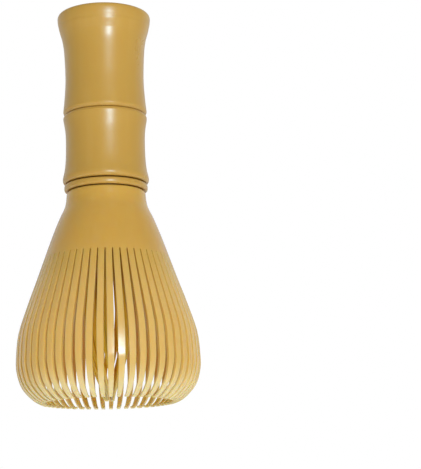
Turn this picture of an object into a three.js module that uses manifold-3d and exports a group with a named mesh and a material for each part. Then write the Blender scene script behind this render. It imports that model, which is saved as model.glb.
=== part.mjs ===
// A moulded matcha tea whisk (chasen): a two-part hollow grip, a loose collar ring, and a head that
// screws into the grip. The head is an outer whisk with flexible tines and an inner whisk that drops
// into its neck. Millimetres, +Z up, the tips of the outer tines on Z = 0, the axis on X = Y = 0.

import * as THREE from 'three';
import { mergeVertices } from 'three/addons/utils/BufferGeometryUtils.js';
import { ParametricGeometry } from 'three/addons/geometries/ParametricGeometry.js';
import Module from 'manifold-3d';

const wasm = await Module();
wasm.setup();

// ---- Driving dimensions ----

const HEIGHT = 115; // tine tips to the rim of the grip
const FIT_GAP = 0.3; // between faces that meet
const GRIP_SEGMENTS = 40; // facets round the grip, the ring and the stem
const CURVE_STEPS = 2; // straight steps between two given points of a smooth outline

const OUTER_TINES = 55;
const INNER_TINES = 17;

const NODE_HEIGHT = 84.2; // parting line between the two halves of the grip
const COLLAR_HEIGHT = 61; // shoulder of the outer whisk, under the collar ring
const COLLAR_THICKNESS = 1.95;
const LIP_HEIGHT = COLLAR_HEIGHT + COLLAR_THICKNESS + 2 * FIT_GAP; // bottom face of the grip

const RIM_RADIUS = 13.8; // widest point of the flared mouth
const NODE_RADIUS = 12.15; // swelling on each side of the parting line
const WAIST_RADIUS = 11.5; // narrowest points of both halves
const LIP_RADIUS = 12.5; // flare at the bottom of the grip
const COLLAR_RADIUS = 12.1;
const NECK_RADIUS = 11.4; // outer whisk, just under the collar ring
const TIP_RADIUS = 19.3; // circle that the outer tips stand on

const MOUTH_RADIUS = 10.4; // hollow of the grip at its rim
const CUP_RADIUS = 9.8; // hollow of the grip below the rim
const CUP_FLOOR = 87.2; // top of the wall that closes the hollow
const FLOOR_THICKNESS = 2;
const SPIGOT_RADIUS = 9.55; // plug of the upper half, inside the lower half
const SPIGOT_BORE = 8;

const SOCKET_RADIUS = 9.85; // bore of the lower half, and the root of its thread
const STOP_RADIUS = 8.2; // ledge inside that bore
const STOP_BOTTOM = 76.6;
const STOP_THICKNESS = 1.9;

const STEM_RADIUS = 8.85; // root of the outer whisk's thread
const STEM_BORE = 7.4;
const STEM_TOP = 74.5;
const THREAD_PITCH = 3;
const THREAD_TURNS = 1.75;
const THREAD_DEPTH = 0.68;
const THREAD_BASE = 1.6; // width of the ridge where it meets the wall
const THREAD_CREST = 0.85;
const THREAD_STEPS_PER_TURN = GRIP_SEGMENTS / 2;
const THREAD_ROOT_DEPTH = 0.3; // how far the ridge reaches into its wall
const THREAD_RUN_OUT = 2; // steps in which the ridge rises out of the wall at each end
const MALE_THREAD_START = 66.5;

const SHOULDER_THICKNESS = 2.2;
const WALL = 1.5; // outer whisk at the neck
const TIP_WALL = 1.05; // outer whisk at the tips
const SLOT_TOP = 41.2; // height where the outer slots begin
const SLOT_TOP_RADIUS = 18;
const FIRST_TINE = THREE.MathUtils.degToRad(1.6); // from the front, on the -Y side
const TINE_ROOT_WIDTH = 1.65;
const TINE_BELLY_WIDTH = 1.9;
const TINE_TIP_WIDTH = 1.0;
const BELLY_HEIGHT = 12.5; // height of the bulb's widest point

const HUB_RADIUS = 7.1;
const HUB_WALL = 1.4;
const HUB_FLANGE_RADIUS = 8.4;
const HUB_FLANGE_THICKNESS = 1.5;
const INNER_SLOT_TOP = 55;
const FIRST_INNER_TINE = THREE.MathUtils.degToRad(2.6);
const INNER_TIP_HEIGHT = 0.6;
const INNER_TIP_RADIUS = 1.9;
const INNER_TIP_WALL = 0.8;
const INNER_ROOT_WIDTH = 1.5;
const INNER_TIP_WIDTH = 0.45;

// ---- Materials ----

// Mustard-tan moulded plastic; the thin tines let more light through than the thick grip.
const gripPlastic = () =>
  new THREE.MeshStandardMaterial({ color: 0xc49e4e, roughness: 0.32, metalness: 0 });
const whiskPlastic = () =>
  new THREE.MeshStandardMaterial({ color: 0xd2ab5e, roughness: 0.34, metalness: 0 });

// ---- Helpers ----

// A solid turned about the Z axis from an outline of [radius, height] points. It closes on itself
// unless it begins and ends on the axis. Its first facet edge is at the front, on the -Y side.
function turned(outline, segments) {
  const onAxis = outline[0][0] === 0 && outline.at(-1)[0] === 0;
  const loop = onAxis ? outline : [...outline, outline[0]];
  const points = loop.map(([radius, height]) => new THREE.Vector2(radius, height));
  return new THREE.LatheGeometry(points, segments).rotateX(Math.PI / 2);
}

// [radius, height] points on a smooth curve through the given ones.
function smooth(through) {
  const curve = new THREE.SplineCurve(through.map(([r, z]) => new THREE.Vector2(r, z)));
  return curve.getPoints(CURVE_STEPS * (through.length - 1)).map((p) => [p.x, p.y]);
}

// The inner face of a wall whose outer face is the given line, run from the bottom up. The wall
// thickens evenly along the line.
function innerFace(line, wallAtBottom, wallAtTop) {
  return line.map(([r, z], i) => {
    const [r0, z0] = line[Math.max(i - 1, 0)];
    const [r1, z1] = line[Math.min(i + 1, line.length - 1)];
    const length = Math.hypot(r1 - r0, z1 - z0);
    const wall = THREE.MathUtils.lerp(wallAtBottom, wallAtTop, i / (line.length - 1));
    return [r - (wall * (z1 - z0)) / length, z + (wall * (r1 - r0)) / length];
  });
}

function toSolid(geometry) {
  const bare = geometry.clone();
  bare.deleteAttribute('normal');
  bare.deleteAttribute('uv');
  const merged = mergeVertices(bare, 1e-4);
  return new wasm.Manifold(
    new wasm.Mesh({
      numProp: 3,
      vertProperties: merged.attributes.position.array,
      triVerts: new Uint32Array(merged.index.array),
    }),
  );
}

function toGeometry(solid) {
  const mesh = solid.getMesh();
  return new THREE.BufferGeometry()
    .setAttribute('position', new THREE.BufferAttribute(mesh.vertProperties, 3))
    .setIndex(new THREE.BufferAttribute(mesh.triVerts, 1));
}

// A helical ridge on a round wall: its section runs out to nothing at both ends. The ridge stands
// outwards from the wall if outwards is 1, and inwards if it is -1.
function threadRidge(wallRadius, startHeight, outwards) {
  const buried = wallRadius - outwards * THREAD_ROOT_DEPTH;
  const crest = wallRadius + outwards * THREAD_DEPTH;
  const corners = [
    [buried, -THREAD_BASE / 2],
    [crest, -THREAD_CREST / 2],
    [crest, THREAD_CREST / 2],
    [buried, THREAD_BASE / 2],
  ];
  const steps = Math.round(THREAD_TURNS * THREAD_STEPS_PER_TURN);
  const runOut = THREAD_RUN_OUT / steps;
  const halfFacet = Math.PI / GRIP_SEGMENTS;
  const place = (u, v, target) => {
    const [radius, rise] = corners[Math.round(u * corners.length) % corners.length];
    const full = Math.min(1, v / runOut, (1 - v) / runOut);
    const r = THREE.MathUtils.lerp(buried, radius, full);
    const angle = halfFacet + v * THREAD_TURNS * 2 * Math.PI;
    const height = startHeight + v * THREAD_TURNS * THREAD_PITCH + rise * full;
    target.set(r * Math.cos(angle), r * Math.sin(angle), height);
  };
  const ridge = new ParametricGeometry(place, corners.length, steps);
  if (outwards > 0) ridge.index.array.reverse();
  return toSolid(ridge);
}

// A round shell that is combed into tines below a ring of slot tops. Its outer and inner lines run up
// from the tips; the first `tineSteps` steps of both belong to the tines, and the two lines meet in a
// flat top. The slots are radial.
function combedShell({ outer, inner, tineSteps, count, tineWidthAt, firstTine }) {
  const columns = 2 * count;
  const positions = [];
  const triangles = [];

  // Column 2k is the left edge of tine k seen from outside, and column 2k + 1 is its right edge.
  const addRing = ([radius, height], tineStep) => {
    const [tineRadius, tineHeight] = outer[tineStep];
    const halfAngle = Math.asin(tineWidthAt(tineHeight) / 2 / tineRadius);
    for (let column = 0; column < columns; column += 1) {
      const centre = firstTine + (Math.floor(column / 2) * 2 * Math.PI) / count;
      const angle = centre + (column % 2 ? halfAngle : -halfAngle) - Math.PI / 2;
      positions.push(radius * Math.cos(angle), radius * Math.sin(angle), height);
    }
  };
  outer.forEach((point, step) => addRing(point, Math.min(step, tineSteps)));
  inner.forEach((point, step) => addRing(point, Math.min(step, tineSteps)));

  const onOuter = (step, column) => step * columns + (column % columns);
  const onInner = (step, column) => (outer.length + step) * columns + (column % columns);
  const quad = (a, b, c, d) => triangles.push(a, b, c, a, c, d);
  for (let column = 0; column < columns; column += 1) {
    const next = column + 1;
    const isTine = column % 2 === 0;
    const bottom = isTine ? 0 : tineSteps;
    for (let step = bottom; step < outer.length - 1; step += 1) {
      const up = step + 1;
      quad(onOuter(step, column), onOuter(step, next), onOuter(up, next), onOuter(up, column));
    }
    for (let step = bottom; step < inner.length - 1; step += 1) {
      const up = step + 1;
      quad(onInner(up, column), onInner(up, next), onInner(step, next), onInner(step, column));
    }
    // The tip of the tine, or the top of the slot.
    quad(
      onInner(bottom, column),
      onInner(bottom, next),
      onOuter(bottom, next),
      onOuter(bottom, column),
    );
    const outerTop = outer.length - 1;
    const innerTop = inner.length - 1;
    quad(
      onOuter(outerTop, column),
      onOuter(outerTop, next),
      onInner(innerTop, next),
      onInner(innerTop, column),
    );
    // The two sides of the tine.
    for (let step = 0; isTine && step < tineSteps; step += 1) {
      const up = step + 1;
      quad(onInner(up, column), onInner(step, column), onOuter(step, column), onOuter(up, column));
      quad(onOuter(up, next), onOuter(step, next), onInner(step, next), onInner(up, next));
    }
  }
  return new THREE.BufferGeometry()
    .setAttribute('position', new THREE.Float32BufferAttribute(positions, 3))
    .setIndex(triangles);
}

// ---- Grip ----

// The upper half: a cup with a flared, rounded mouth, closed by a floor at the parting line, with a
// short hollow spigot below it.
function gripUpper() {
  const bottom = NODE_HEIGHT + FIT_GAP / 2;
  const side = smooth([
    [NODE_RADIUS, bottom + 0.7],
    [WAIST_RADIUS + 0.3, bottom + 4.5],
    [WAIST_RADIUS, 97],
    [WAIST_RADIUS + 0.8, HEIGHT - 8],
    [RIM_RADIUS - 0.1, HEIGHT - 2.3],
    [RIM_RADIUS - 0.5, HEIGHT - 0.5],
    [RIM_RADIUS - 1.5, HEIGHT],
  ]);
  const mouth = smooth([
    [MOUTH_RADIUS + 0.7, HEIGHT],
    [MOUTH_RADIUS, HEIGHT - 0.9],
    [CUP_RADIUS, HEIGHT - 3.5],
  ]);
  const spigotBottom = STOP_BOTTOM + STOP_THICKNESS + FIT_GAP;
  const outline = [
    [0, CUP_FLOOR - FLOOR_THICKNESS],
    [SPIGOT_BORE, CUP_FLOOR - FLOOR_THICKNESS],
    [SPIGOT_BORE, spigotBottom],
    [SPIGOT_RADIUS - 0.4, spigotBottom],
    [SPIGOT_RADIUS, spigotBottom + 0.6],
    [SPIGOT_RADIUS, bottom],
    [NODE_RADIUS - 0.6, bottom],
    ...side,
    ...mouth,
    [CUP_RADIUS - 0.2, CUP_FLOOR + 1],
    [CUP_RADIUS - 1.2, CUP_FLOOR],
    [0, CUP_FLOOR],
  ];
  return turned(outline, GRIP_SEGMENTS);
}

// The lower half: an open sleeve with a ledge inside. The spigot of the upper half fills the bore
// above the ledge, and the head screws into the thread below it.
function gripLower() {
  const top = NODE_HEIGHT - FIT_GAP / 2;
  const side = smooth([
    [LIP_RADIUS, LIP_HEIGHT + 1.1],
    [WAIST_RADIUS + 0.45, LIP_HEIGHT + 4.2],
    [WAIST_RADIUS, 74.5],
    [NODE_RADIUS - 0.25, top - 3.2],
    [NODE_RADIUS, top - 0.7],
  ]);
  const outline = [
    [SOCKET_RADIUS + 0.5, LIP_HEIGHT],
    [LIP_RADIUS - 0.7, LIP_HEIGHT],
    [LIP_RADIUS - 0.2, LIP_HEIGHT + 0.3],
    ...side,
    [NODE_RADIUS - 0.6, top],
    [SOCKET_RADIUS, top],
    [SOCKET_RADIUS, STOP_BOTTOM + STOP_THICKNESS],
    [STOP_RADIUS, STOP_BOTTOM + STOP_THICKNESS],
    [STOP_RADIUS, STOP_BOTTOM],
    [SOCKET_RADIUS, STOP_BOTTOM],
    [SOCKET_RADIUS, LIP_HEIGHT + 0.5],
  ];
  const start = MALE_THREAD_START - THREAD_PITCH / 2;
  const sleeve = toSolid(turned(outline, GRIP_SEGMENTS));
  return toGeometry(sleeve.add(threadRidge(SOCKET_RADIUS, start, -1)));
}

// The loose ring that the grip and the head trap between them.
function collarRing() {
  const bottom = COLLAR_HEIGHT + FIT_GAP;
  const top = bottom + COLLAR_THICKNESS;
  const edge = [
    [COLLAR_RADIUS - 0.7, bottom],
    [COLLAR_RADIUS - 0.1, bottom + 0.45],
    [COLLAR_RADIUS, (bottom + top) / 2],
    [COLLAR_RADIUS - 0.1, top - 0.45],
    [COLLAR_RADIUS - 0.7, top],
  ];
  const bore = STEM_RADIUS + THREAD_DEPTH + FIT_GAP;
  return turned([...edge, [bore, top], [bore, bottom]], GRIP_SEGMENTS);
}

// ---- Head ----

// The outer whisk: a threaded stem and shoulder, a plain skirt, and tines that belly out and turn in
// to the tips, all one moulding.
function outerWhisk() {
  const tines = [
    [TIP_RADIUS, 0],
    [23.6, 3.1],
    [25.9, 8.5],
    [25.8, 16.5],
    [22.8, 28],
    [SLOT_TOP_RADIUS, SLOT_TOP],
  ];
  const skirt = [
    [14.2, 51],
    [NECK_RADIUS + 0.1, 57.6],
  ];
  const outer = [...smooth([...tines, ...skirt]), [NECK_RADIUS, COLLAR_HEIGHT]];
  const tineWidthAt = (height) =>
    height > BELLY_HEIGHT
      ? THREE.MathUtils.mapLinear(height, SLOT_TOP, BELLY_HEIGHT, TINE_ROOT_WIDTH, TINE_BELLY_WIDTH)
      : THREE.MathUtils.mapLinear(height, BELLY_HEIGHT, 0, TINE_BELLY_WIDTH, TINE_TIP_WIDTH);
  const bulb = combedShell({
    outer,
    inner: [...innerFace(outer.slice(0, -1), TIP_WALL, WALL), [NECK_RADIUS - WALL, COLLAR_HEIGHT]],
    tineSteps: CURVE_STEPS * (tines.length - 1),
    count: OUTER_TINES,
    tineWidthAt,
    firstTine: FIRST_TINE,
  });
  const shoulderRadius = NECK_RADIUS - WALL / 2;
  const stem = turned(
    [
      [STEM_BORE, COLLAR_HEIGHT - SHOULDER_THICKNESS],
      [shoulderRadius, COLLAR_HEIGHT - SHOULDER_THICKNESS],
      [shoulderRadius, COLLAR_HEIGHT],
      [STEM_RADIUS, COLLAR_HEIGHT],
      [STEM_RADIUS, STEM_TOP - 0.5],
      [STEM_RADIUS - 0.4, STEM_TOP],
      [STEM_BORE, STEM_TOP],
    ],
    GRIP_SEGMENTS,
  );
  const thread = threadRidge(STEM_RADIUS, MALE_THREAD_START, 1);
  return toGeometry(toSolid(bulb).add(toSolid(stem)).add(thread));
}

// The inner whisk: a flanged tube that hangs in the stem of the outer whisk, and a slim bundle of
// tines whose tips close in round the axis, all one moulding.
function innerWhisk() {
  const flangeBottom = STEM_TOP + FIT_GAP;
  const flangeTop = flangeBottom + HUB_FLANGE_THICKNESS;
  const tines = smooth([
    [INNER_TIP_RADIUS, INNER_TIP_HEIGHT],
    [4.2, 9],
    [6, 16],
    [6.9, 30],
    [HUB_RADIUS, INNER_SLOT_TOP],
  ]);
  return combedShell({
    outer: [
      ...tines,
      [HUB_RADIUS, flangeBottom],
      [HUB_FLANGE_RADIUS, flangeBottom],
      [HUB_FLANGE_RADIUS, flangeTop],
    ],
    inner: [...innerFace(tines, INNER_TIP_WALL, HUB_WALL), [HUB_RADIUS - HUB_WALL, flangeTop]],
    tineSteps: tines.length - 1,
    count: INNER_TINES,
    tineWidthAt: (height) =>
      THREE.MathUtils.mapLinear(
        THREE.MathUtils.smoothstep(height, 0, 1.5 * BELLY_HEIGHT),
        0,
        1,
        INNER_TIP_WIDTH,
        INNER_ROOT_WIDTH,
      ),
    firstTine: FIRST_INNER_TINE,
  });
}

// ---- Assembly ----

function named(name, geometry, material) {
  const mesh = new THREE.Mesh(geometry, material);
  mesh.name = name;
  return mesh;
}

const grip = new THREE.Group();
grip.add(
  named('grip_upper', gripUpper(), gripPlastic()),
  named('grip_lower', gripLower(), gripPlastic()),
);

const head = new THREE.Group();
head.add(
  named('outer_whisk', outerWhisk(), whiskPlastic()),
  named('inner_whisk', innerWhisk(), whiskPlastic()),
);

const whisk = new THREE.Group();
whisk.add(grip, named('collar_ring', collarRing(), gripPlastic()), head);

export default whisk;
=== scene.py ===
"""A moulded tea whisk in glossy mustard-tan plastic, standing on the tips of its tines."""

import math
import random

import bpy
from mathutils import Matrix, Vector


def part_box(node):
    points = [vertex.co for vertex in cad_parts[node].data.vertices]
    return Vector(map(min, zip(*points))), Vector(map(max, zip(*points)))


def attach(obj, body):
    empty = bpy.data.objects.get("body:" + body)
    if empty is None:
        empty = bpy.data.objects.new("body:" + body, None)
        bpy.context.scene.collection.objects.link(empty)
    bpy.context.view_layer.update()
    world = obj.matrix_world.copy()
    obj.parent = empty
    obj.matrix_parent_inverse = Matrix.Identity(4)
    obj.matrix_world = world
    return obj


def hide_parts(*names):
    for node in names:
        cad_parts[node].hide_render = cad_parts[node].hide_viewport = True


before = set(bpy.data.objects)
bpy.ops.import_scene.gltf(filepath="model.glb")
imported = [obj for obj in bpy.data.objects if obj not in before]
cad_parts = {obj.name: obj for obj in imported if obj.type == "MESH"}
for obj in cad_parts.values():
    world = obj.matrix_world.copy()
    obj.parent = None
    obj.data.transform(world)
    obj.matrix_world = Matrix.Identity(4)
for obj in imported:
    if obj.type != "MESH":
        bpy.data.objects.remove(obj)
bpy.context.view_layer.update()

MM = 0.001

# ---- Sizes, in millimetres. Heights and outer radii come from the frame. ----


def heights(node):
    low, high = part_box(node)
    return low[2] / MM, high[2] / MM


def outer_radius(node):
    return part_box(node)[1][0] / MM


RIM_TOP = heights("grip_upper")[1]
RING_BOTTOM, RING_TOP = heights("collar_ring")
SLEEVE_BOTTOM, SLEEVE_TOP = heights("grip_lower")
STEM_TOP = heights("outer_whisk")[1]
HUB_TOP = heights("inner_whisk")[1]
RIM_RADIUS = outer_radius("grip_upper")
RING_RADIUS = outer_radius("collar_ring")

NODE_RADIUS = 12.15  # swelling on each side of the parting line
NODE_GAP = 0.06  # between the two halves of the grip
WAIST_RADIUS = 11.52
CUP_RADIUS = 9.8
CUP_FLOOR = 87.2
FLOOR_THICKNESS = 2.0
SPIGOT_RADIUS = 9.55
SPIGOT_BORE = 8.0
SPIGOT_BOTTOM = 78.8
SOCKET_RADIUS = 9.85
STOP_RADIUS = 8.2
STOP_BOTTOM = 76.6
STOP_TOP = 78.5

NECK_RADIUS = 11.48
NECK_TOP = RING_BOTTOM - 0.3
STEM_RADIUS = 8.85
STEM_BORE = 7.4
SHOULDER_THICKNESS = 2.2
WALL = 1.5
TIP_WALL = 0.4
OUTER_THINNING = 45  # length over which the outer tines thin down to their tips
SLOT_TOP = 41.5
OUTER_TINES = 55
FIRST_TINE = math.radians(1.6)  # from the front, on the -Y side

HUB_RADIUS = 7.1
HUB_WALL = 1.4
INNER_TIP_WALL = 0.45
INNER_THINNING = 54
FLANGE_RADIUS = 8.4
FLANGE_THICKNESS = 1.5
INNER_TINES = 17
FIRST_INNER_TINE = math.radians(2.6)
INNER_SLOT_TOP = 55.0

THREAD_PITCH = 3.0
THREAD_TURNS = 1.75
THREAD_DEPTH = 0.68
THREAD_BASE = 1.6
THREAD_CREST = 0.85
MALE_THREAD_START = 66.5
THREAD_ROOT_DEPTH = 0.3  # how far the ridge reaches into its wall

LATHE_SEGMENTS = 160
ON_AXIS = 1e-6  # radii smaller than this are points on the axis
COLUMNS_PER_TINE = 3  # left edge, middle and right edge
THINNING_POWER = 0.6  # how a wall's thickness grows away from the tips
TWIST_POWER = 4  # keeps the twist of the tines near their tips
SLIMMEST_BEND = 5.0  # radius below which a tine's sideways bend stops turning it further
BEVEL_FROM = math.radians(32)  # only edges sharper than this are rounded
SLIVER = 0.004  # vertices closer than this are welded


# ---- Outlines ----


def curve_through(points, steps=8):
    """Points on a Catmull-Rom curve through the given ones, with that many steps between two."""
    padded = [points[0], *points, points[-1]]
    line = []
    for i in range(1, len(points)):
        p0, p1, p2, p3 = (Vector(p) for p in padded[i - 1 : i + 3])
        for k in range(steps):
            t = k / steps
            line.append(
                0.5
                * (
                    2 * p1
                    + (p2 - p0) * t
                    + (2 * p0 - 5 * p1 + 4 * p2 - p3) * t * t
                    + (3 * p1 - p0 - 3 * p2 + p3) * t**3
                )
            )
    line.append(Vector(points[-1]))
    return [tuple(p) for p in line]


def lengths_along(line):
    lengths = [0.0]
    for (r0, z0), (r1, z1) in zip(line, line[1:]):
        lengths.append(lengths[-1] + math.hypot(r1 - r0, z1 - z0))
    return lengths


def offset_inwards(line, tip_wall, full_wall, thinning):
    """The inner face of a wall whose outer face is the given line of (radius, height), run upwards.
    The wall thins down to tip_wall over the thinning length at the start of the line."""
    inner = []
    last = len(line) - 1
    for i, length in enumerate(lengths_along(line)):
        r, z = line[i]
        r0, z0 = line[max(i - 1, 0)]
        r1, z1 = line[min(i + 1, last)]
        step = math.hypot(r1 - r0, z1 - z0)
        wall = tip_wall + (full_wall - tip_wall) * min(1, length / thinning) ** THINNING_POWER
        inner.append((r - wall * (z1 - z0) / step, z + wall * (r1 - r0) / step))
    return inner


# ---- Meshes ----


def mesh_object(name, vertices, faces):
    mesh = bpy.data.meshes.new(name)
    mesh.from_pydata([Vector(v) * MM for v in vertices], [], faces)
    mesh.validate()
    obj = bpy.data.objects.new(name, mesh)
    bpy.context.collection.objects.link(obj)
    return obj


def turned(name, outline):
    """A solid turned about Z from (radius, height) points, closed on itself or on the axis."""
    vertices = []
    rings = []
    for r, z in outline:
        if r < ON_AXIS:
            rings.append([len(vertices)] * LATHE_SEGMENTS)
            vertices.append((0, 0, z))
            continue
        rings.append(range(len(vertices), len(vertices) + LATHE_SEGMENTS))
        for k in range(LATHE_SEGMENTS):
            angle = 2 * math.pi * k / LATHE_SEGMENTS
            vertices.append((r * math.cos(angle), r * math.sin(angle), z))
    faces = []
    ends_on_axis = outline[0][0] < ON_AXIS and outline[-1][0] < ON_AXIS
    pairs = len(outline) - 1 if ends_on_axis else len(outline)
    for i in range(pairs):
        low, high = rings[i], rings[(i + 1) % len(rings)]
        for k in range(LATHE_SEGMENTS):
            n = (k + 1) % LATHE_SEGMENTS
            corners = [low[k], low[n], high[n], high[k]]
            faces.append(list(dict.fromkeys(corners)))
    return mesh_object(name, vertices, faces)


def combed_shell(name, outer, inner, tine_steps, place):
    """A round shell combed into tines. Both lines run up from the tips, and their first tine_steps
    steps are tines. place(column, step, radius, height) gives each vertex: column 3k is the left edge
    of tine k seen from outside, 3k + 1 its middle and 3k + 2 its right edge."""
    columns = place.columns
    vertices = []
    for line in (outer, inner):
        for step, (r, z) in enumerate(line):
            for column in range(columns):
                vertices.append(place(column, min(step, tine_steps), r, z))

    def on_outer(step, column):
        return step * columns + column % columns

    def on_inner(step, column):
        return (len(outer) + step) * columns + column % columns

    faces = []
    outer_top, inner_top = len(outer) - 1, len(inner) - 1
    for column in range(columns):
        n = column + 1
        part = column % COLUMNS_PER_TINE
        is_tine = part < COLUMNS_PER_TINE - 1
        bottom = 0 if is_tine else tine_steps
        for s in range(bottom, outer_top):
            corners = (s, column), (s, n), (s + 1, n), (s + 1, column)
            faces.append([on_outer(*c) for c in corners])
        for s in range(bottom, inner_top):
            corners = (s + 1, column), (s + 1, n), (s, n), (s, column)
            faces.append([on_inner(*c) for c in corners])
        closing = [on_inner(bottom, column), on_inner(bottom, n)]
        closing += [on_outer(bottom, n), on_outer(bottom, column)]
        top = [on_outer(outer_top, column), on_outer(outer_top, n)]
        top += [on_inner(inner_top, n), on_inner(inner_top, column)]
        faces += [closing, top]
        for s in range(tine_steps):
            if part == 0:
                left_side = [on_inner(s + 1, column), on_inner(s, column)]
                left_side += [on_outer(s, column), on_outer(s + 1, column)]
                faces.append(left_side)
            if part == 1:
                right_side = [on_outer(s + 1, n), on_outer(s, n)]
                right_side += [on_inner(s, n), on_inner(s + 1, n)]
                faces.append(right_side)
    return mesh_object(name, vertices, faces)


class TinePlacer:
    """Places the tines round the axis, each a little off its even place by up to bend. They follow the
    line from tips to roots, and width_at gives their width from the length along it. A tine is fixed
    at its root and freest at its tip, where twist turns it round the axis as well."""

    def __init__(self, count, first, line, width_at, seed, bend, twist=0.0, freedom_power=2.0):
        self.columns = COLUMNS_PER_TINE * count
        self.count = count
        self.first = first
        self.line = line
        self.twist = twist
        self.freedom_power = freedom_power
        self.widths = [width_at(length) for length in lengths_along(line)]
        chance = random.Random(seed)
        self.sideways = [chance.uniform(-bend, bend) for _ in range(count)]
        self.outwards = [chance.uniform(-bend, bend) for _ in range(count)]
        self.root_height = line[-1][1]

    def __call__(self, column, step, radius, height):
        tine_radius, tine_height = self.line[step]
        tine, part = divmod(column, COLUMNS_PER_TINE)
        half_angle = math.asin(self.widths[step] / 2 / tine_radius)
        freedom = max(0.0, 1 - tine_height / self.root_height) ** self.freedom_power
        angle = self.first + 2 * math.pi * tine / self.count - math.pi / 2
        angle += half_angle * (part - 1)
        angle += freedom * self.sideways[tine] / max(tine_radius, SLIMMEST_BEND)
        angle += freedom**TWIST_POWER * self.twist
        radius += freedom * self.outwards[tine]
        return radius * math.cos(angle), radius * math.sin(angle), height


def thread_ridge(name, wall_radius, start, outwards, steps_per_turn=48):
    """A helical ridge on a round wall that runs out to nothing at both ends."""
    buried = wall_radius - outwards * THREAD_ROOT_DEPTH
    crest = wall_radius + outwards * THREAD_DEPTH
    section = [
        (buried, -THREAD_BASE / 2),
        (crest, -THREAD_CREST / 2),
        (crest, THREAD_CREST / 2),
        (buried, THREAD_BASE / 2),
    ]
    steps = round(THREAD_TURNS * steps_per_turn)
    run_out = 5
    end_size = 0.3  # of a step, so that the ends don't shrink to a point
    vertices = []
    for i in range(steps + 1):
        full = min(1, (i + end_size) / run_out, (steps - i + end_size) / run_out)
        angle = 2 * math.pi * i / steps_per_turn
        middle = start + THREAD_PITCH * i / steps_per_turn
        for radius, rise in section:
            r = buried + (radius - buried) * full
            vertices.append((r * math.cos(angle), r * math.sin(angle), middle + rise * full))
    faces = []
    for i in range(steps):
        for k in range(4):
            a, b = 4 * i + k, 4 * i + (k + 1) % 4
            corners = [a, b, b + 4, a + 4]
            faces.append(corners if outwards > 0 else corners[::-1])
    ends = [[3, 2, 1, 0], [4 * steps + k for k in range(4)]]
    faces += ends if outwards > 0 else [end[::-1] for end in ends]
    return mesh_object(name, vertices, faces)


def apply_modifiers(obj):
    graph = bpy.context.evaluated_depsgraph_get()
    mesh = bpy.data.meshes.new_from_object(obj.evaluated_get(graph))
    obj.modifiers.clear()
    obj.data = mesh


def joined(base, other):
    """other becomes part of base's solid."""
    union = base.modifiers.new("join", "BOOLEAN")
    union.operation = "UNION"
    union.solver = "EXACT"
    union.object = other
    apply_modifiers(base)
    bpy.data.objects.remove(other)
    return base


def round_edges(obj, width):
    bevel = obj.modifiers.new("rounded edges", "BEVEL")
    bevel.width = width * MM
    bevel.segments = 3
    bevel.limit_method = "ANGLE"
    bevel.angle_limit = BEVEL_FROM
    bevel.use_clamp_overlap = True
    bevel.harden_normals = True
    weld = obj.modifiers.new("no slivers", "WELD")
    weld.merge_threshold = SLIVER * MM
    obj.data.polygons.foreach_set("use_smooth", [True] * len(obj.data.polygons))
    return obj


# ---- Materials ----


class Nodes:
    """Short calls for a node tree."""

    def __init__(self, tree):
        self.tree = tree
        tree.nodes.clear()

    def add(self, kind, **settings):
        node = self.tree.nodes.new(kind)
        for key, value in settings.items():
            if key in node.inputs:
                node.inputs[key].default_value = value
            else:
                setattr(node, key, value)
        return node

    def link(self, output, node, name):
        self.tree.links.new(output, node.inputs[name])

    def noise(self, vector, scale, detail=2.0):
        node = self.add("ShaderNodeTexNoise", Scale=scale, Detail=detail, Roughness=0.55)
        self.link(vector, node, "Vector")
        return node.outputs["Fac"]

    def mapped(self, value, low, high, to_low, to_high):
        """value, eased from one range into another."""
        node = self.add("ShaderNodeMapRange", interpolation_type="SMOOTHSTEP")
        self.link(value, node, "Value")
        node.inputs["From Min"].default_value = low
        node.inputs["From Max"].default_value = high
        node.inputs["To Min"].default_value = to_low
        node.inputs["To Max"].default_value = to_high
        return node.outputs["Result"]

    def mixed(self, factor, a, b):
        """Colour a where factor is 0, b where it is 1. Each may be a value or another node's output."""
        node = self.add("ShaderNodeMix", data_type="RGBA")
        for value, index in ((factor, 0), (a, 6), (b, 7)):
            if isinstance(value, bpy.types.NodeSocket):
                self.tree.links.new(value, node.inputs[index])
            else:
                node.inputs[index].default_value = value
        return node.outputs[2]


def grey(value):
    """Linear grey."""
    return (value, value, value, 1)


def srgb(red, green, blue):
    """A colour given as 0 to 255 display values, as linear RGBA."""
    linear = []
    for value in (red, green, blue):
        c = value / 255
        linear.append(c / 12.92 if c <= 0.04045 else ((c + 0.055) / 1.055) ** 2.4)
    return (*linear, 1)


GRIP_COLOUR = srgb(183, 145, 65)
SKIRT_COLOUR = srgb(196, 156, 70)
DEEP_COLOUR = srgb(176, 137, 58)  # the clouds in both
TIP_LIT_THROUGH_COLOUR = srgb(240, 222, 176)  # painted light shining through the thinnest ends
# painted light shining through the thin tines
TINE_LIT_THROUGH_COLOUR = srgb(209, 172, 98)
# painted bounce light: the inner tines, of the same plastic, painted golden as if lit inside the bulb
INNER_BOUNCE_LIT_COLOUR = srgb(232, 176, 44)
DUSTY_COLOUR = srgb(194, 160, 92)
# painted shade where parts meet
CREVICE_SHADE_COLOUR = srgb(150, 98, 32)
RUBBED_COLOUR = srgb(216, 184, 118)


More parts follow.
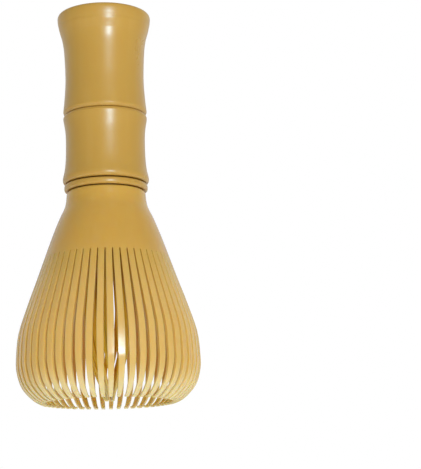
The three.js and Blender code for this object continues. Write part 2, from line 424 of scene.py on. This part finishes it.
def moulded_plastic(name, lit_through_colour=None):
    """Glossy moulded plastic: cloudy colour, faint flow marks down the part, and a fine moulded skin
    over soft ripples in the bump. With a colour for the tines it is a whisk's: that colour down the
    tines and a paler one at the tips are painted light, shone through and bounced about the thin
    plastic.
    Without one it is the grip's, with edges rubbed a little paler, and painted brown shade where parts
    meet."""
    material = bpy.data.materials.new(name)
    material.use_nodes = True
    n = Nodes(material.node_tree)
    place = n.add("ShaderNodeTexCoord").outputs["Object"]

    stretched = n.add("ShaderNodeMapping")
    n.link(place, stretched, "Vector")
    stretched.inputs["Scale"].default_value = (1, 1, 0.12)
    flow = n.noise(stretched.outputs["Vector"], 260)
    cloud = n.noise(place, 70, detail=3)
    skin = n.noise(place, 2600)
    ripple = n.noise(place, 420)

    thick_colour = SKIRT_COLOUR if lit_through_colour else GRIP_COLOUR
    colour = n.mixed(n.mapped(cloud, 0.3, 0.7, 0.0, 0.22), thick_colour, DEEP_COLOUR)
    # painted light: the tines are painted paler down to their tips, where light shines through them
    if lit_through_colour:
        height = n.add("ShaderNodeSeparateXYZ")
        n.link(place, height, "Vector")
        thin = n.mapped(height.outputs["Z"], (SLOT_TOP - 18) * MM, (SLOT_TOP + 6) * MM, 1.0, 0.0)
        colour = n.mixed(thin, colour, lit_through_colour)
        tip = n.mapped(height.outputs["Z"], 0.5 * MM, 10 * MM, 0.55, 0.0)
        colour = n.mixed(tip, colour, TIP_LIT_THROUGH_COLOUR)
    colour = n.mixed(n.mapped(flow, 0.42, 0.75, 0.0, 0.16), colour, DUSTY_COLOUR)
    if not lit_through_colour:
        edge = n.add("ShaderNodeNewGeometry").outputs["Pointiness"]
        colour = n.mixed(n.mapped(edge, 0.52, 0.62, 0.0, 0.25), colour, RUBBED_COLOUR)
        # painted shade: an occlusion mask paints the crevices and gaps where parts meet brown
        occlusion_shade = n.add("ShaderNodeAmbientOcclusion", samples=6)
        occlusion_shade.inputs["Distance"].default_value = 0.9 * MM
        closed = n.mapped(occlusion_shade.outputs["AO"], 0.15, 0.6, 0.75, 0.0)
        colour = n.mixed(closed, colour, CREVICE_SHADE_COLOUR)

    fine = n.add("ShaderNodeBump", Strength=0.10, Distance=0.00004)
    n.link(skin, fine, "Height")
    wavy = n.add("ShaderNodeBump", Strength=0.35, Distance=0.00005)
    n.link(ripple, wavy, "Height")
    n.link(fine.outputs["Normal"], wavy, "Normal")

    shader = n.add("ShaderNodeBsdfPrincipled")
    n.link(colour, shader, "Base Color")
    polish = (0.19, 0.27) if lit_through_colour else (0.27, 0.36)
    n.link(n.mapped(cloud, 0.3, 0.7, *polish), shader, "Roughness")
    shader.inputs["Specular Tint"].default_value = (0.60, 0.85, 1.0, 1)
    n.link(wavy.outputs["Normal"], shader, "Normal")
    shader.inputs["IOR"].default_value = 1.47
    shader.inputs["Subsurface Weight"].default_value = 0.6 if lit_through_colour else 0.3
    shader.inputs["Subsurface Radius"].default_value = (1.0, 0.6, 0.18)
    shader.inputs["Subsurface Scale"].default_value = 0.004 if lit_through_colour else 0.0015
    output = n.add("ShaderNodeOutputMaterial")
    n.link(shader.outputs["BSDF"], output, "Surface")
    return material


grip_material = moulded_plastic("grip_plastic_look")
whisk_material = moulded_plastic("outer_whisk_look", TINE_LIT_THROUGH_COLOUR)
inner_material = moulded_plastic("inner_whisk_look", INNER_BOUNCE_LIT_COLOUR)


def finish_piece(obj, material, body, node):
    obj.data.materials.clear()
    obj.data.materials.append(material)
    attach(obj, body)
    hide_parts(node)
    return obj


# ---- The grip ----


def upper_grip():
    """An open cup with a flared round mouth, a floor at the node, and a hollow spigot under it."""
    bottom = SLEEVE_TOP + NODE_GAP
    side = curve_through(
        [
            (NODE_RADIUS - 0.5, bottom + 0.1),
            (NODE_RADIUS - 0.2, bottom + 0.42),
            (NODE_RADIUS - 0.02, bottom + 0.85),
            (NODE_RADIUS + 0.03, bottom + 1.4),
            (11.9, bottom + 4.0),
            (WAIST_RADIUS, 93.5),
            (WAIST_RADIUS + 0.02, 98.0),
            (11.84, 103.9),
            (12.28, 107.0),
            (12.62, 108.4),
            (13.12, 110.1),
            (RIM_RADIUS - 0.41, RIM_TOP - 4.0),
            (RIM_RADIUS - 0.2, RIM_TOP - 3.1),
            (RIM_RADIUS - 0.07, RIM_TOP - 2.2),
            (RIM_RADIUS - 0.02, RIM_TOP - 1.5),
            (RIM_RADIUS - 0.1, RIM_TOP - 0.95),
            (RIM_RADIUS - 0.36, RIM_TOP - 0.56),
            (RIM_RADIUS - 0.9, RIM_TOP - 0.28),
            (RIM_RADIUS - 1.7, RIM_TOP - 0.1),
            (RIM_RADIUS - 2.4, RIM_TOP),
        ]
    )
    mouth = curve_through(
        [
            (CUP_RADIUS + 1.1, RIM_TOP - 0.05),
            (CUP_RADIUS + 0.6, RIM_TOP - 0.4),
            (CUP_RADIUS + 0.2, RIM_TOP - 1.3),
            (CUP_RADIUS, RIM_TOP - 3.5),
        ],
        steps=5,
    )
    well = curve_through(
        [
            (CUP_RADIUS - 0.25, CUP_FLOOR + 1.6),
            (CUP_RADIUS - 0.65, CUP_FLOOR + 0.5),
            (CUP_RADIUS - 1.7, CUP_FLOOR),
        ],
        steps=5,
    )
    outline = [
        (0, CUP_FLOOR - FLOOR_THICKNESS),
        (SPIGOT_BORE, CUP_FLOOR - FLOOR_THICKNESS),
        (SPIGOT_BORE, SPIGOT_BOTTOM),
        (SPIGOT_RADIUS - 0.4, SPIGOT_BOTTOM),
        (SPIGOT_RADIUS, SPIGOT_BOTTOM + 0.6),
        (SPIGOT_RADIUS, bottom),
        (NODE_RADIUS - 0.7, bottom),
        *side,
        *mouth,
        *well,
        (0, CUP_FLOOR),
    ]
    return round_edges(turned("upper_grip", outline), 0.1)


def lower_grip():
    """An open sleeve with a flared lip, a ledge in its bore and the thread that the head turns in."""
    top = SLEEVE_TOP
    side = curve_through(
        [
            (11.9, SLEEVE_BOTTOM + 0.06),
            (12.22, SLEEVE_BOTTOM + 0.3),
            (12.43, SLEEVE_BOTTOM + 0.75),
            (12.5, SLEEVE_BOTTOM + 1.3),
            (12.38, SLEEVE_BOTTOM + 2.1),
            (11.98, SLEEVE_BOTTOM + 3.9),
            (11.65, SLEEVE_BOTTOM + 6.8),
            (WAIST_RADIUS, 74.5),
            (11.62, 79.0),
            (NODE_RADIUS + 0.02, top - 1.3),
            (NODE_RADIUS - 0.03, top - 0.7),
            (NODE_RADIUS - 0.2, top - 0.3),
            (NODE_RADIUS - 0.5, top - 0.06),
        ]
    )
    outline = [
        (SOCKET_RADIUS + 0.5, SLEEVE_BOTTOM),
        (11.6, SLEEVE_BOTTOM),
        *side,
        (NODE_RADIUS - 0.7, top),
        (SOCKET_RADIUS, top),
        (SOCKET_RADIUS, STOP_TOP),
        (STOP_RADIUS, STOP_TOP),
        (STOP_RADIUS, STOP_BOTTOM),
        (SOCKET_RADIUS, STOP_BOTTOM),
        (SOCKET_RADIUS, SLEEVE_BOTTOM + 0.5),
    ]
    sleeve = turned("lower_grip", outline)
    start = MALE_THREAD_START - THREAD_PITCH / 2
    ridge = thread_ridge("socket_thread", SOCKET_RADIUS, start, -1)
    return round_edges(joined(sleeve, ridge), 0.1)


def collar_ring():
    """The loose ring, with a rounded outer edge."""
    middle = (RING_BOTTOM + RING_TOP) / 2
    edge = curve_through(
        [
            (RING_RADIUS - 0.5, RING_BOTTOM),
            (RING_RADIUS - 0.1, RING_BOTTOM + 0.35),
            (RING_RADIUS, middle),
            (RING_RADIUS - 0.1, RING_TOP - 0.35),
            (RING_RADIUS - 0.5, RING_TOP),
        ],
        steps=5,
    )
    bore = STEM_RADIUS + THREAD_DEPTH + 0.3
    return round_edges(turned("collar", [*edge, (bore, RING_TOP), (bore, RING_BOTTOM)]), 0.1)


# ---- The head ----


def outer_whisk():
    """The threaded stem, the neck and skirt, and the outer tines, as one moulding."""
    tines = curve_through(
        [
            (17.9, 0.25),
            (18.7, 0.02),
            (19.6, 0.08),
            (21.9, 1.5),
            (24.7, 4.75),
            (26.06, 9.2),
            (26.13, 13.4),
            (25.42, 20.0),
            (22.85, 28.0),
            (20.3, 35.0),
            (17.98, SLOT_TOP),
        ],
        steps=4,
    )
    skirt = curve_through(
        [
            (17.98, SLOT_TOP),
            (15.65, 48.0),
            (13.65, 53.0),
            (12.15, 56.2),
            (NECK_RADIUS + 0.16, 58.2),
            (NECK_RADIUS + 0.02, NECK_TOP - 1.5),
            (NECK_RADIUS - 0.05, NECK_TOP - 0.7),
            (NECK_RADIUS - 0.16, NECK_TOP - 0.25),
            (NECK_RADIUS - 0.4, NECK_TOP),
        ],
        steps=5,
    )
    tines = [(r, max(z, 0.0)) for r, z in tines]
    outer = [*tines, *skirt[1:]]
    walled = [point for point in outer if point[1] < NECK_TOP - 1]
    inner = offset_inwards(walled, TIP_WALL, WALL, OUTER_THINNING)
    inner.append((NECK_RADIUS - WALL, NECK_TOP))

    tine_length = lengths_along(tines)[-1]
    tip_width, belly_width, root_width, belly_at = 0.45, 1.92, 1.74, 18.0

    def width_at(length):
        if length < belly_at:
            return tip_width + (belly_width - tip_width) * (length / belly_at) ** 0.42
        share = (length - belly_at) / (tine_length - belly_at)
        return belly_width + (root_width - belly_width) * share

    placer = TinePlacer(OUTER_TINES, FIRST_TINE, tines, width_at, seed=4, bend=0.12)
    bulb = combed_shell("outer_whisk_moulding", outer, inner, len(tines) - 1, placer)
    shoulder = NECK_RADIUS - WALL / 2
    stem = turned(
        "stem",
        [
            (STEM_BORE, NECK_TOP - SHOULDER_THICKNESS),
            (shoulder, NECK_TOP - SHOULDER_THICKNESS),
            (shoulder, NECK_TOP),
            (STEM_RADIUS, NECK_TOP),
            (STEM_RADIUS, STEM_TOP - 0.5),
            (STEM_RADIUS - 0.4, STEM_TOP),
            (STEM_BORE, STEM_TOP),
        ],
    )
    joined(stem, thread_ridge("stem_thread", STEM_RADIUS, MALE_THREAD_START, 1))
    return round_edges(joined(bulb, stem), 0.22)


def inner_whisk():
    """The flanged hub and the slim bundle of inner tines, whose tips close in and twist together."""
    tines = curve_through(
        [
            (1.5, 0.6),
            (2.0, 3.0),
            (2.8, 5.2),
            (4.3, 9.2),
            (5.8, 14.5),
            (6.7, 22.0),
            (6.95, 32.0),
            (HUB_RADIUS, 44.0),
            (HUB_RADIUS, INNER_SLOT_TOP),
        ],
        steps=4,
    )
    flange_bottom = HUB_TOP - FLANGE_THICKNESS
    outer = [
        *tines,
        (HUB_RADIUS, flange_bottom),
        (FLANGE_RADIUS, flange_bottom),
        (FLANGE_RADIUS, HUB_TOP),
    ]
    inner = offset_inwards(tines, INNER_TIP_WALL, HUB_WALL, INNER_THINNING)
    inner.append((HUB_RADIUS - HUB_WALL, HUB_TOP))
    tip_width, full_width, full_at = 0.47, 1.58, 18

    def width_at(length):
        return tip_width + (full_width - tip_width) * min(1.0, length / full_at)

    placer = TinePlacer(
        INNER_TINES,
        FIRST_INNER_TINE,
        tines,
        width_at,
        seed=11,
        bend=0.2,
        twist=math.radians(50),
        freedom_power=1.2,
    )
    placer.sideways[0] = -1.7  # the foremost tine leans
    hub = combed_shell("inner_whisk_moulding", outer, inner, len(tines) - 1, placer)
    return round_edges(hub, 0.14)


pieces = [
    finish_piece(upper_grip(), grip_material, "grip", "grip_upper"),
    finish_piece(lower_grip(), grip_material, "grip", "grip_lower"),
    finish_piece(collar_ring(), grip_material, "ring", "collar_ring"),
    finish_piece(outer_whisk(), whisk_material, "head", "outer_whisk"),
    finish_piece(inner_whisk(), inner_material, "head", "inner_whisk"),
]


# ---- The stage ----


FLOOR_SIZE = 3.0
FLOOR_GLOW = 0.50
FLOOR_CLEAR = 0.7  # share of the light that the floor lets through

FRONT_LEFT = grey(0.295)
FRONT_RIGHT = grey(0.32)
BEHIND = grey(0.9)
STRAIGHT_BEHIND = grey(0.3)
BELOW = grey(1.18)
WHITE = grey(1)

# Name, place, height of the point on the axis that it faces, width and height, all in metres, and
# power in watts. The gloss shows the key's bright image, and the fainter ones round and over it.
SOFTBOXES = [
    ("key", (0.111, -0.490, 0.083), 0.07, (0.072, 0.060), 1.35),
    ("key_halo", (0.112, -0.492, 0.086), 0.07, (0.180, 0.080), 0.30),
    ("upper_key", (0.113, -0.500, 0.185), 0.09, (0.100, 0.100), 0.12),
]


def one_sided_floor():
    """A pale, faintly glowing light table under the tine tips. Seen from below it is clear, because
    the camera stands lower than the tips do and looks up."""
    half = FLOOR_SIZE / 2 / MM
    corners = [(-half, -half, 0), (half, -half, 0), (half, half, 0), (-half, half, 0)]
    floor = mesh_object("floor", corners, [[0, 1, 2, 3]])
    material = bpy.data.materials.new("floor_look")
    material.use_nodes = True
    n = Nodes(material.node_tree)
    paint = n.add("ShaderNodeBsdfDiffuse", Color=grey(0.86))
    glow = n.add("ShaderNodeEmission", Strength=FLOOR_GLOW)
    lit = n.add("ShaderNodeAddShader")
    n.tree.links.new(paint.outputs["BSDF"], lit.inputs[0])
    n.tree.links.new(glow.outputs["Emission"], lit.inputs[1])
    clear = n.add("ShaderNodeBsdfTransparent")
    mix = n.add("ShaderNodeMixShader")
    back = n.add("ShaderNodeNewGeometry").outputs["Backfacing"]
    n.link(n.mapped(back, 0.0, 1.0, FLOOR_CLEAR, 1.0), mix, "Fac")
    n.tree.links.new(lit.outputs["Shader"], mix.inputs[1])
    n.tree.links.new(clear.outputs["BSDF"], mix.inputs[2])
    output = n.add("ShaderNodeOutputMaterial")
    n.link(mix.outputs["Shader"], output, "Surface")
    floor.data.materials.append(material)
    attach(floor, "ring")  # the ring sinks with the head but doesn't turn, so the tips stay on it


def softbox(name, place, faced_height, size, power, lit):
    """A small soft light on the lit collection only, so that it draws no edge on the floor."""
    light = bpy.data.lights.new(name, "AREA")
    light.shape = "RECTANGLE"
    light.size, light.size_y = size
    light.energy = power
    obj = bpy.data.objects.new(name, light)
    bpy.context.collection.objects.link(obj)
    obj.light_linking.receiver_collection = lit
    obj.location = place
    aim = Vector((0, 0, faced_height)) - Vector(place)
    obj.rotation_euler = aim.to_track_quat("-Z", "Y").to_euler()


def studio_world():
    """White to the camera. What lights the whisk is grey in front, darker on the left than on the
    right, paler behind except straight behind, and white below."""
    world = bpy.data.worlds.new("studio")
    bpy.context.scene.world = world
    world.use_nodes = True
    n = Nodes(world.node_tree)
    direction = n.add("ShaderNodeTexCoord").outputs["Generated"]
    split = n.add("ShaderNodeSeparateXYZ")
    n.link(direction, split, "Vector")
    side = n.mapped(split.outputs["X"], -1.0, 0.6, 0.0, 1.0)
    front = n.mixed(side, FRONT_LEFT, FRONT_RIGHT)
    behind = n.mapped(split.outputs["Y"], 0.0, 0.75, 0.0, 1.0)
    room = n.mixed(behind, front, BEHIND)
    straight_behind = n.mapped(split.outputs["Y"], 0.88, 0.97, 0.0, 1.0)
    room = n.mixed(straight_behind, room, STRAIGHT_BEHIND)
    below = n.mapped(split.outputs["Z"], -0.6, -0.15, 1.0, 0.0)
    room = n.mixed(below, room, BELOW)
    is_camera = n.add("ShaderNodeLightPath").outputs["Is Camera Ray"]
    colour = n.mixed(is_camera, room, WHITE)
    background = n.add("ShaderNodeBackground", Strength=1.0)
    n.link(colour, background, "Color")
    output = n.add("ShaderNodeOutputWorld")
    n.link(background.outputs["Background"], output, "Surface")


def camera():
    """Below the tips and 45 cm in front, turned a little right so that the whisk stands left."""
    distance, drop = 0.450, 0.0419
    yaw, pitch, roll = math.radians(3.82), math.radians(11.311), math.radians(1.546)
    forward = Vector(
        (math.sin(yaw) * math.cos(pitch), math.cos(yaw) * math.cos(pitch), math.sin(pitch))
    )
    level_right = Vector((math.cos(yaw), -math.sin(yaw), 0))
    level_up = level_right.cross(forward)
    right = level_right * math.cos(roll) - level_up * math.sin(roll)
    up = level_up * math.cos(roll) + level_right * math.sin(roll)
    data = bpy.data.cameras.new("camera")
    data.lens, data.sensor_width = 121.66, 36
    data.clip_start, data.clip_end = 0.01, 10
    obj = bpy.data.objects.new("camera", data)
    bpy.context.collection.objects.link(obj)
    turn = Matrix((right, up, -forward)).transposed().to_4x4()
    obj.matrix_world = Matrix.Translation((0, -distance, -drop)) @ turn
    bpy.context.scene.camera = obj


one_sided_floor()
studio_world()
lit_by_softboxes = bpy.data.collections.new("lit by the softboxes")
for piece in pieces:
    lit_by_softboxes.objects.link(piece)
for box in SOFTBOXES:
    softbox(*box, lit_by_softboxes)
camera()
bpy.context.scene.view_settings.view_transform = "Standard"
